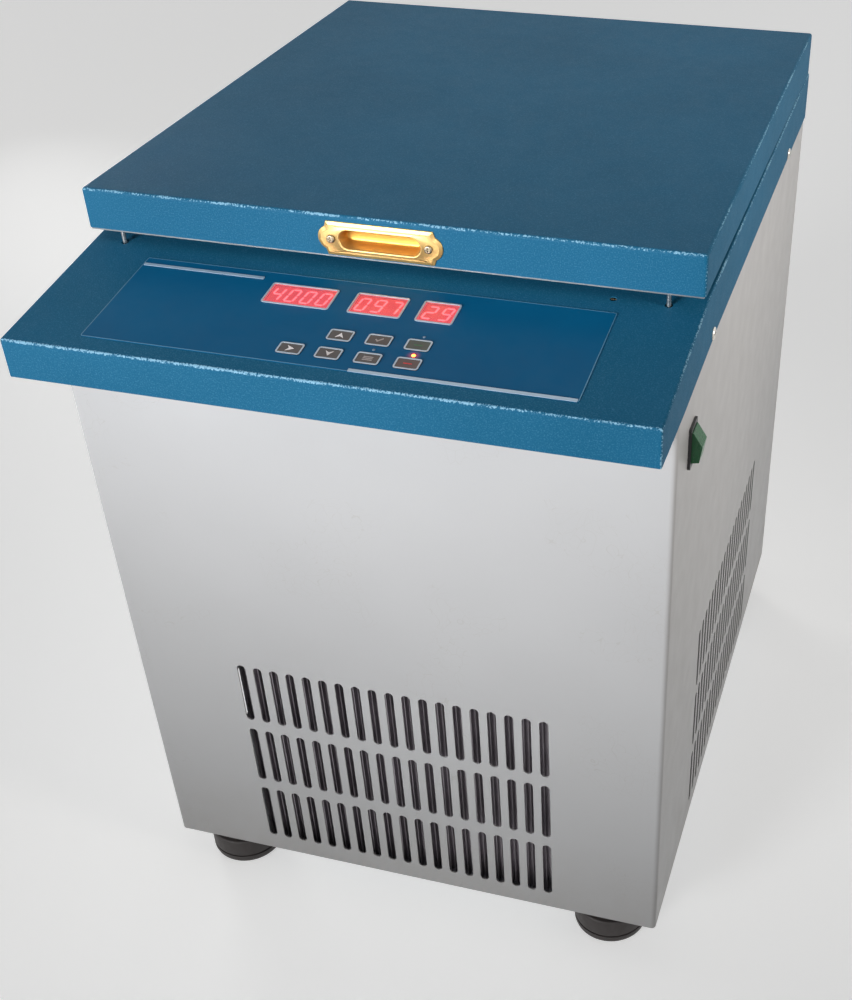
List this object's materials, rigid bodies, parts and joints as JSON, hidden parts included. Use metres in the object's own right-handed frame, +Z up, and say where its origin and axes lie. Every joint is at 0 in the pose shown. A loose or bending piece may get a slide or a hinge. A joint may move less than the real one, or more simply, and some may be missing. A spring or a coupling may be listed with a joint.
{
  "type": "refrigerated centrifuge",
  "caption": "Floor-standing refrigerated centrifuge with a hinged insulated lid, sloping control console, swing-out bucket rotor in a cooled chamber and a cooling unit below.",
  "frame": {"origin": "on the floor, at the bottom centre of the whole instrument's box", "axes": "+X to the right of someone who faces the console; +Y from the console to the back; +Z up"},
  "size_m": [0.5724, 0.7757, 0.774],
  "materials": {
    "cabinet_grey": "semi-gloss light grey powder coat",
    "cowl_blue": "fine-textured blue powder coat",
    "overlay_blue": "satin printed polyester film",
    "window_red": "tinted clear window",
    "digit_red": "lit segments",
    "board_green": "solder-masked circuit board",
    "module_dark": "matt moulded housings",
    "lamp_orange": "clear tinted lamps",
    "key_dark": "satin moulded caps",
    "key_green": "satin moulded cap",
    "key_red": "satin moulded cap",
    "handle_gold": "satin brass, lacquered",
    "screw_chrome": "bright plated",
    "steel": "brushed stainless",
    "galvanised": "zinc-plated sheet",
    "foam": "rigid foam, skinned",
    "rubber_black": "matt moulded rubber",
    "gasket_grey": "soft moulded seal",
    "copper": "drawn copper tube",
    "aluminium": "anodised",
    "cast_grey": "painted casting",
    "compressor_black": "gloss black enamel",
    "black_plastic": "moulded black plastic",
    "rocker_green": "translucent green"
  },
  "bodies": {
    "cabinet": {"base_plate": "galvanised", "corner_posts": "galvanised", "chamber_shelf": "galvanised", "front_panel": "cabinet_grey", "left_panel": "cabinet_grey", "right_panel": "cabinet_grey", "rear_panel": "cabinet_grey", "rubber_feet": "rubber_black", "top_cowl": "cowl_blue", "console_pan": "cowl_blue", "control_overlay": "overlay_blue", "display_windows": "window_red", "board_parts": "module_dark", "display_digits": "digit_red", "display_board": "board_green", "indicator_lamps": "lamp_orange", "hinge_fixed_leaves": "steel", "lock_solenoid": "galvanised", "chamber_wall": "steel", "chamber_floor": "steel", "chamber_gasket": "gasket_grey", "evaporator_coil": "copper", "guard_ring": "galvanised", "chamber_insulation": "foam", "shaft_boot": "rubber_black", "motor_plate": "steel", "rubber_mounts": "rubber_black", "motor_housing": "cast_grey", "condenser": "aluminium", "fan_shroud": "galvanised", "fan_motor": "aluminium", "compressor": "compressor_black", "refrigerant_lines": "copper", "drive_unit": "aluminium", "rocker_bezel": "black_plastic", "power_inlet": "black_plastic", "case_screws": "screw_chrome"},
    "lid": {"lid_shell": "cowl_blue", "lid_insulation": "foam", "lid_pan": "steel", "pull_handle": "handle_gold", "lid_screws": "screw_chrome", "lid_strikers": "steel", "hinge_moving_leaves": "steel"},
    "rotor": {"motor_shaft": "steel", "rotor_yoke": "aluminium", "rotor_nut": "aluminium"},
    "bucket_1_body": {"bucket_1": "aluminium"},
    "bucket_2_body": {"bucket_2": "aluminium"},
    "bucket_3_body": {"bucket_3": "aluminium"},
    "bucket_4_body": {"bucket_4": "aluminium"},
    "fan": {"condenser_fan": "black_plastic"},
    "rocker": {"power_rocker": "rocker_green"},
    "key_up_body": {"key_up": "key_dark"},
    "key_confirm_body": {"key_confirm": "key_dark"},
    "key_start_body": {"key_start": "key_green"},
    "key_right_body": {"key_right": "key_dark"},
    "key_down_body": {"key_down": "key_dark"},
    "key_menu_body": {"key_menu": "key_dark"},
    "key_stop_body": {"key_stop": "key_red"},
    "lock": {"lock_bar": "steel"}
  },
  "joints": [
    {"name": "lid_hinge", "type": "hinge", "parent": "cabinet", "child": "lid", "pos_m": [0, 0.38175, 0.733], "axis": [-1, 0, 0], "range_deg": [0, 78]},
    {"name": "rotor_spin", "type": "hinge", "parent": "cabinet", "child": "rotor", "pos_m": [0, 0.07224, 0.64], "axis": [0, 0, 1], "continuous": true},
    {"name": "bucket_1_swing", "type": "hinge", "parent": "rotor", "child": "bucket_1_body", "pos_m": [0.105, 0.07224, 0.64], "axis": [0, -1, 0], "range_deg": [0, 90]},
    {"name": "bucket_2_swing", "type": "hinge", "parent": "rotor", "child": "bucket_2_body", "pos_m": [0, 0.17724, 0.64], "axis": [1, 0, 0], "range_deg": [0, 90]},
    {"name": "bucket_3_swing", "type": "hinge", "parent": "rotor", "child": "bucket_3_body", "pos_m": [-0.105, 0.07224, 0.64], "axis": [0, 1, 0], "range_deg": [0, 90]},
    {"name": "bucket_4_swing", "type": "hinge", "parent": "rotor", "child": "bucket_4_body", "pos_m": [0, -0.03276, 0.64], "axis": [-1, 0, 0], "range_deg": [0, 90]},
    {"name": "fan_spin", "type": "hinge", "parent": "cabinet", "child": "fan", "pos_m": [0, -0.24425, 0.19], "axis": [0, 1, 0], "continuous": true},
    {"name": "rocker_tilt", "type": "hinge", "parent": "cabinet", "child": "rocker", "pos_m": [0.279, -0.25675, 0.615], "axis": [0, 1, 0], "range_deg": [0, 24]},
    {"name": "lock_slide", "type": "slide", "parent": "cabinet", "child": "lock", "axis": [1, 0, 0], "range_m": [0, 0.007], "stiffness_N_per_m": 100},
    {"name": "key_up_press", "type": "slide", "parent": "cabinet", "child": "key_up_body", "axis": [0, 0.1271, -0.9919], "range_m": [0, 0.0004], "stiffness_N_per_m": 800},
    {"name": "key_confirm_press", "type": "slide", "parent": "cabinet", "child": "key_confirm_body", "axis": [0, 0.1271, -0.9919], "range_m": [0, 0.0004], "stiffness_N_per_m": 800},
    {"name": "key_start_press", "type": "slide", "parent": "cabinet", "child": "key_start_body", "axis": [0, 0.1271, -0.9919], "range_m": [0, 0.0004], "stiffness_N_per_m": 800},
    {"name": "key_right_press", "type": "slide", "parent": "cabinet", "child": "key_right_body", "axis": [0, 0.1271, -0.9919], "range_m": [0, 0.0004], "stiffness_N_per_m": 800},
    {"name": "key_down_press", "type": "slide", "parent": "cabinet", "child": "key_down_body", "axis": [0, 0.1271, -0.9919], "range_m": [0, 0.0004], "stiffness_N_per_m": 800},
    {"name": "key_menu_press", "type": "slide", "parent": "cabinet", "child": "key_menu_body", "axis": [0, 0.1271, -0.9919], "range_m": [0, 0.0004], "stiffness_N_per_m": 800},
    {"name": "key_stop_press", "type": "slide", "parent": "cabinet", "child": "key_stop_body", "axis": [0, 0.1271, -0.9919], "range_m": [0, 0.0004], "stiffness_N_per_m": 800}
  ]
}
